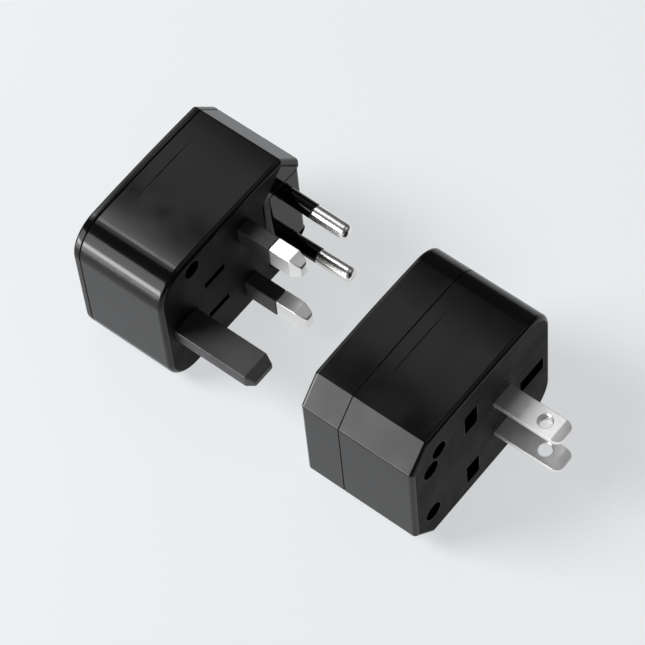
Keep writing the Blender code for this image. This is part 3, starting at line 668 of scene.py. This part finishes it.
def make_eu_block():
    flat, edge, inner = SWIVEL_FLAT, SWIVEL_EDGE_RADIUS, SWIVEL_INNER_RADIUS
    points = arc((flat - inner, -SWIVEL_HUB + inner), inner, -90, 0, 16)
    points += arc((flat - edge, flat - edge), edge, 0, 90, 8)
    points += [(SWIVEL_END_BACK, flat), (-SWIVEL_HUB, SWIVEL_SHOULDER)]
    points += arc((0, 0), SWIVEL_HUB, 180, 270, 16)
    outline = [(SWIVEL_X + x, SWIVEL_Y + y) for x, y in points]
    heights = (PIN_Z - SWIVEL_HALF_HEIGHT, PIN_Z + SWIVEL_HALF_HEIGHT)
    rotor = add("eu_block_moulded", extruded_up(outline, heights), MIRROR, UK_ORIGIN)
    face = SWIVEL_X + flat
    for sign in (1, -1):
        centre = (EU_Y, PIN_Z + sign * EU_HALF)
        bore = turned([(face + 2, 2.04), (-3.4, 2.04), (-3.4, 1.5), (-9.0, 1.5)], centre)
        carve(rotor, leaning(bore, sign), UK_ORIGIN)
        carve(rotor, stub_hole(sign, 2.7, SWIVEL_HALF_HEIGHT + 1), UK_ORIGIN)
    step = rotor.modifiers.new("edges", "BEVEL")
    step.width = 0.25 * MM
    step.segments = 2
    step.angle_limit = math.radians(60)
    applied(rotor)
    finish(rotor, "eu_swivel", "eu_swivel_block", slot="glossy_black_plastic")


def make_eu_pins():
    """Round pins whose metal starts a little in front of their sleeves."""
    shoulder, sleeve_end = SLEEVE_END + 0.15, SLEEVE_END - 0.15
    angles = [math.radians(a) for a in range(0, 91, 9)]
    tip = [(EU_LENGTH - EU_NOSE + EU_NOSE * math.sin(a), EU_RADIUS - EU_NOSE + EU_NOSE * math.cos(a))
           for a in angles]
    for name, sign in (("upper", 1), ("lower", -1)):
        centre = (EU_Y, PIN_Z + sign * EU_HALF)
        profile = [(-8.6, EU_CORE_RADIUS), (shoulder, EU_CORE_RADIUS), (shoulder, 1.93),
                   (shoulder + 0.08, EU_RADIUS)] + tip
        shape = leaning(turned(profile, centre, 64), sign)
        pin = add(f"eu_pin_{name}_plated", shape, BRIGHT, UK_ORIGIN)
        finish(pin, "eu_swivel", f"eu_pin_{name}", slot="nickel_plate")
        tube = turned([(-3.0, 1.98), (sleeve_end - 0.1, 1.98), (sleeve_end, 1.9),
                       (sleeve_end, EU_SLEEVE_BORE), (-3.0, EU_SLEEVE_BORE)],
                      centre, 64, ring_shaped=True)
        sleeve = add(f"eu_sleeve_{name}_moulded", leaning(tube, sign), MIRROR, UK_ORIGIN)
        finish(sleeve, "eu_swivel", f"eu_sleeve_{name}", slot="black_pin_sleeve")


def upright_cone(x, ends):
    """Cutter along Z at x, through ends of (height, radius)."""
    angles = [math.tau * i / 64 for i in range(64)]
    return loft([[(x + radius * math.cos(a), radius * math.sin(a), z) for a in angles]
                 for z, radius in ends])


def make_blades():
    width, thick = BLADE_HALF_WIDTH, BLADE_HALF_THICK
    shoulder = BLADE_LENGTH - BLADE_NOSE
    stations = [(BLADE_START, width, thick), (shoulder, width, thick)]
    count = 12
    for k in range(1, count + 1):
        a = math.radians(90 * k / count)
        stations.append((shoulder + BLADE_NOSE * math.sin(a),
                         width - 1.9 * (1 - math.cos(a)), thick - 0.42 * k / count))
    for name, sign in (("upper", 1), ("lower", -1)):
        z = PIN_Z + sign * US_HALF
        rings = [[(x, *point) for point in rounded(rectangle((0.0, z), w, t, 0.12), 2)]
                 for x, w, t in stations]
        blade = add(f"us_blade_{name}_plated", loft(rings), NICKEL, US_ORIGIN)
        hole = [(z - 2.0, BLADE_HOLE_RADIUS), (z + 2.0, BLADE_HOLE_RADIUS)]
        carve(blade, upright_cone(BLADE_HOLE_X, hole), US_ORIGIN)
        for side in (1, -1):
            sink = [(z + side * (thick + 0.5), 2.5), (z + side * (thick - 0.28), 1.6)]
            carve(blade, upright_cone(BLADE_HOLE_X, sink), US_ORIGIN)
        finish(blade, f"blade_{name}", f"us_blade_{name}", slot="nickel_plate", sharp=20)
        profile = [(0.0, ROTOR_RADIUS - 0.03), (-0.03, ROTOR_RADIUS), (-2.5, ROTOR_RADIUS),
                   (-2.5, 5.6), (-6.3, 5.6)]
        rotor = add(f"blade_rotor_{name}_moulded", turned(profile, (0.0, z), 64), SPARK, US_ORIGIN)
        carve(rotor, block((-10, 3), (-width - 0.1, width + 0.1), (z - thick - 0.1, z + thick + 0.1)),
              US_ORIGIN)
        finish(rotor, f"blade_{name}", f"blade_rotor_{name}", slot="textured_black_plastic")


# ---------------------------------------------------------------- inside pieces, as modelled

def dress_inside():
    finishes = {
        BRASS: ["uk_line_contact", "uk_neutral_contact", "us_line_contact", "us_neutral_contact",
                "eu_stub_upper", "eu_stub_lower"],
        BRONZE: ["eu_wiper_upper", "eu_wiper_lower", "blade_wiper_upper", "blade_wiper_lower"],
        STEEL: ["eu_detent_spring", "rotor_detent_spring", "uk_case_screw", "us_case_screw"],
        INSULATOR: ["uk_contact_carrier", "us_contact_carrier", "rotor_retainer"],
    }
    for surface, names in finishes.items():
        for name in names:
            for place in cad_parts[name].material_slots:
                place.material = surface


# ---------------------------------------------------------------- studio

def panel(name, direction, spread, radiance, steep=False, lights="gloss"):
    """A rectangular light 3 m away, facing the model.

    spread is its width and height in degrees as the model sees it, and radiance its brightness in
    a mirror. A steep one keeps a side along X. lights says whether it shows in reflections
    ("gloss") or lights matt surfaces ("matt").
    """
    distance = 3.0
    out = Vector(direction).normalized()
    across = Vector((0, 1, 0) if steep else (0, 0, 1)).cross(out).normalized()
    up = out.cross(across)
    size = [2 * distance * math.tan(math.radians(angle / 2)) for angle in spread]
    lamp = bpy.data.lights.new(name, "AREA")
    lamp.shape = "RECTANGLE"
    lamp.size, lamp.size_y = size
    lamp.energy = radiance * math.pi * size[0] * size[1]
    item = bpy.data.objects.new(name, lamp)
    facing = Matrix((across, up, out)).transposed().to_4x4()
    item.matrix_world = Matrix.Translation(out * distance) @ facing
    item.visible_camera = False
    item.visible_glossy = lights == "gloss"
    item.visible_diffuse = lights == "matt"
    bpy.context.collection.objects.link(item)


def aim(azimuth, elevation):
    """A direction from degrees round from -Y towards -X, and degrees up."""
    a, e = math.radians(azimuth), math.radians(elevation)
    return (-math.sin(a) * math.cos(e), -math.cos(a) * math.cos(e), math.sin(e))


def make_studio():
    floor = bpy.data.meshes.new("floor")
    bm = bmesh.new()
    bmesh.ops.create_circle(bm, cap_ends=True, segments=96, radius=1.2)
    bm.to_mesh(floor)
    bm.free()
    table = bpy.data.objects.new("floor", floor)
    bpy.context.collection.objects.link(table)
    paper = bpy.data.materials.new("pale_lit_table")
    paper.use_nodes = True
    tree = paper.node_tree
    shader = tree.nodes["Principled BSDF"]
    place = node(tree, "ShaderNodeTexCoord").outputs["Object"]
    mottle = node(tree, "ShaderNodeMix", data_type="RGBA")
    mottle.inputs["A"].default_value = (0.355, 0.362, 0.37, 1.0)
    mottle.inputs["B"].default_value = (0.365, 0.372, 0.38, 1.0)
    tree.links.new(noise(tree, place, 30.0), mottle.inputs["Factor"])
    tree.links.new(mottle.outputs["Result"], shader.inputs["Base Color"])
    tree.links.new(ranged(tree, noise(tree, place, 50.0), 0.2, 0.24), shader.inputs["Roughness"])
    shader.inputs["IOR"].default_value = 1.2
    shader.inputs["Emission Color"].default_value = (0.965, 0.983, 1.0, 1.0)
    shader.inputs["Emission Strength"].default_value = 0.605
    floor.materials.append(paper)

    world = bpy.data.worlds.new("studio")
    world.use_nodes = True
    background = world.node_tree.nodes["Background"]
    background.inputs["Color"].default_value = (0.95, 0.97, 1.0, 1.0)
    background.inputs["Strength"].default_value = 0.10
    bpy.context.scene.world = world

    panel("overhead", (-0.50, 0.20, 0.84), (14, 9), 9.0, steep=True)
    panel("overhead_side", (-0.66, 0.24, 0.71), (14, 34), 5.5, steep=True)
    panel("overhead_spill", (-0.46, 0.05, 0.88), (14, 14), 1.7, steep=True)
    panel("sheen", (-0.33, 0.395, 0.839), (22, 7), 1.15, steep=True)
    panel("right_fill", (0.45, 0.36, 0.81), (30, 30), 0.5, steep=True)
    panel("front_panel", aim(22, 21), (50, 44), 5.2)
    panel("front_strip", aim(28, 6), (44, 8), 16.0)
    panel("side_strip", aim(37, 12), (28, 5), 16.0)
    panel("key", (-0.56, -0.44, 0.70), (26, 26), 12.5, lights="matt")


def make_camera():
    """Looks down at the two halves from in front of their faces."""
    azimuth, elevation, roll = (math.radians(a) for a in (43.76, 58.34, 6.34))
    target = Vector((-0.0062, 0.0004, 0.020))
    distance = 0.7528
    away = Vector((math.sin(azimuth) * math.cos(elevation), -math.cos(azimuth) * math.cos(elevation),
                   math.sin(elevation)))
    lens = bpy.data.cameras.new("camera")
    lens.sensor_width = 36.0
    lens.lens = 185.4
    lens.clip_start = 0.01
    camera = bpy.data.objects.new("camera", lens)
    bpy.context.collection.objects.link(camera)
    look = (-away).to_track_quat("-Z", "Y").to_matrix().to_4x4()
    rolled = look @ Matrix.Rotation(-roll, 4, "Z")
    camera.matrix_world = Matrix.Translation(target + away * distance) @ rolled
    bpy.context.scene.camera = camera


make_uk_shell()
make_uk_cover()
make_us_shell()
make_us_cover()
make_uk_pins()
make_eu_block()
make_eu_pins()
make_blades()
dress_inside()
make_studio()
make_camera()
bpy.context.scene.view_settings.view_transform = "Standard"
